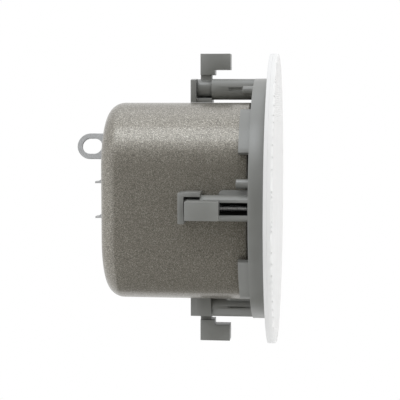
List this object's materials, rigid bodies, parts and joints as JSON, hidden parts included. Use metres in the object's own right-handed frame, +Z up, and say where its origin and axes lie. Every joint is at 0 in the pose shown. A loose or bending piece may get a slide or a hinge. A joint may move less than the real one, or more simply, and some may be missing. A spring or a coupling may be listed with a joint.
{
  "type": "ceiling speaker",
  "caption": "Round flush-mount ceiling loudspeaker with a perforated grille, a steel back can, swing-out ceiling clamps and a safety eyelet.",
  "frame": {"origin": "on the speaker's axis in the ceiling plane, which is the rear face of the trim ring", "axes": "+Z up along the speaker's axis into the ceiling void; the grille faces -Z; the safety eyelet is towards +X"},
  "size_m": [0.2, 0.2, 0.1416],
  "materials": {
    "white_coat": "fine matt white powder coat",
    "white_abs": "matt white moulding",
    "grey_abs": "matt mid-grey glass-filled moulding",
    "can_steel": "grey-brown coat with a fine metallic sparkle",
    "zinc": "zinc plate",
    "brass": "plain brass",
    "black_steel": "black e-coat",
    "ferrite": "sintered ferrite",
    "rubber": "matt black rubber",
    "foam": "closed-cell foam",
    "cone_pulp": "coated paper pulp",
    "spider_cloth": "resin-treated cotton",
    "scrim_cloth": "thin black acoustic cloth",
    "wadding": "polyester wadding",
    "copper": "enamelled copper wire",
    "neodymium": "nickel plate",
    "black_plastic": "black moulding",
    "titanium": "satin foil dome",
    "laminate": "varnished laminations",
    "pcb": "green solder mask",
    "film_cap": "blue sleeve"
  },
  "bodies": {
    "root": {"grille": "white_coat", "grille_scrim": "scrim_cloth", "grille_magnets": "neodymium", "trim_ring": "white_abs", "trim_screws": "zinc", "mounting_ring": "grey_abs", "back_can": "can_steel", "can_gasket": "foam", "can_screws": "zinc", "damping_pad": "wadding", "clamp_cap_1": "grey_abs", "clamp_cap_2": "grey_abs", "clamp_cap_3": "grey_abs", "clamp_cap_4": "grey_abs", "woofer_basket": "black_steel", "woofer_gasket": "foam", "woofer_screws": "zinc", "surround": "rubber", "spider": "spider_cloth", "pole_plate": "zinc", "magnet": "ferrite", "yoke": "zinc", "tweeter_housing": "black_plastic", "tweeter_dome": "titanium", "transformer_core": "laminate", "transformer_winding": "copper", "transformer_strap": "zinc", "crossover_board": "pcb", "crossover_capacitor": "film_cap", "crossover_coil": "copper", "tap_switch": "black_plastic", "terminal_plate": "zinc", "terminal_screws": "zinc", "terminal_block": "black_plastic", "terminal_clamp_screws": "zinc", "cable_clamp": "zinc", "safety_eyelet": "zinc", "eyelet_rivet": "zinc"},
    "clamp_screw_1": {"clamp_screw_1": "zinc"},
    "clamp_nut_1": {"clamp_nut_1": "brass"},
    "clamp_leg_1": {"clamp_leg_1": "grey_abs"},
    "clamp_screw_2": {"clamp_screw_2": "zinc"},
    "clamp_nut_2": {"clamp_nut_2": "brass"},
    "clamp_leg_2": {"clamp_leg_2": "grey_abs"},
    "clamp_screw_3": {"clamp_screw_3": "zinc"},
    "clamp_nut_3": {"clamp_nut_3": "brass"},
    "clamp_leg_3": {"clamp_leg_3": "grey_abs"},
    "clamp_screw_4": {"clamp_screw_4": "zinc"},
    "clamp_nut_4": {"clamp_nut_4": "brass"},
    "clamp_leg_4": {"clamp_leg_4": "grey_abs"},
    "cone": {"cone": "cone_pulp", "voice_coil": "copper"},
    "tap_knob": {"tap_knob": "grey_abs"}
  },
  "joints": [
    {"name": "clamp_screw_1_turn", "type": "hinge", "parent": "root", "child": "clamp_screw_1", "pos_m": [0.07665, 0, 0.03], "axis": [0, 0, -1], "range_deg": [0, 5850]},
    {"name": "clamp_nut_1_travel", "type": "slide", "parent": "root", "child": "clamp_nut_1", "axis": [0, 0, -1], "range_m": [0, 0.026]},
    {"name": "clamp_leg_1_swing", "type": "hinge", "parent": "clamp_nut_1", "child": "clamp_leg_1", "pos_m": [0.07665, 0, 0.045], "axis": [0, 0, 1], "range_deg": [-98, 0]},
    {"name": "clamp_screw_2_turn", "type": "hinge", "parent": "root", "child": "clamp_screw_2", "pos_m": [0, 0.07665, 0.03], "axis": [0, 0, -1], "range_deg": [0, 5850]},
    {"name": "clamp_nut_2_travel", "type": "slide", "parent": "root", "child": "clamp_nut_2", "axis": [0, 0, -1], "range_m": [0, 0.026]},
    {"name": "clamp_leg_2_swing", "type": "hinge", "parent": "clamp_nut_2", "child": "clamp_leg_2", "pos_m": [0, 0.07665, 0.045], "axis": [0, 0, 1], "range_deg": [-98, 0]},
    {"name": "clamp_screw_3_turn", "type": "hinge", "parent": "root", "child": "clamp_screw_3", "pos_m": [-0.07665, 0, 0.03], "axis": [0, 0, -1], "range_deg": [0, 5850]},
    {"name": "clamp_nut_3_travel", "type": "slide", "parent": "root", "child": "clamp_nut_3", "axis": [0, 0, -1], "range_m": [0, 0.026]},
    {"name": "clamp_leg_3_swing", "type": "hinge", "parent": "clamp_nut_3", "child": "clamp_leg_3", "pos_m": [-0.07665, 0, 0.045], "axis": [0, 0, 1], "range_deg": [-98, 0]},
    {"name": "clamp_screw_4_turn", "type": "hinge", "parent": "root", "child": "clamp_screw_4", "pos_m": [0, -0.07665, 0.03], "axis": [0, 0, -1], "range_deg": [0, 5850]},
    {"name": "clamp_nut_4_travel", "type": "slide", "parent": "root", "child": "clamp_nut_4", "axis": [0, 0, -1], "range_m": [0, 0.026]},
    {"name": "clamp_leg_4_swing", "type": "hinge", "parent": "clamp_nut_4", "child": "clamp_leg_4", "pos_m": [0, -0.07665, 0.045], "axis": [0, 0, 1], "range_deg": [-98, 0]},
    {"name": "cone_stroke", "type": "slide", "parent": "root", "child": "cone", "axis": [0, 0, -1], "range_m": [-0.003, 0.003], "stiffness_N_per_m": 1500, "deforming": ["surround", "spider"]},
    {"name": "tap_knob_turn", "type": "hinge", "parent": "root", "child": "tap_knob", "pos_m": [0.04333, 0.04333, 0.005], "axis": [0, 0, -1], "range_deg": [0, 240]}
  ],
  "couplings": [
    {"joint": "clamp_screw_1_turn", "follows": "clamp_nut_1_travel", "rad_per_m": 3927},
    {"joint": "clamp_screw_2_turn", "follows": "clamp_nut_2_travel", "rad_per_m": 3927},
    {"joint": "clamp_screw_3_turn", "follows": "clamp_nut_3_travel", "rad_per_m": 3927},
    {"joint": "clamp_screw_4_turn", "follows": "clamp_nut_4_travel", "rad_per_m": 3927}
  ]
}
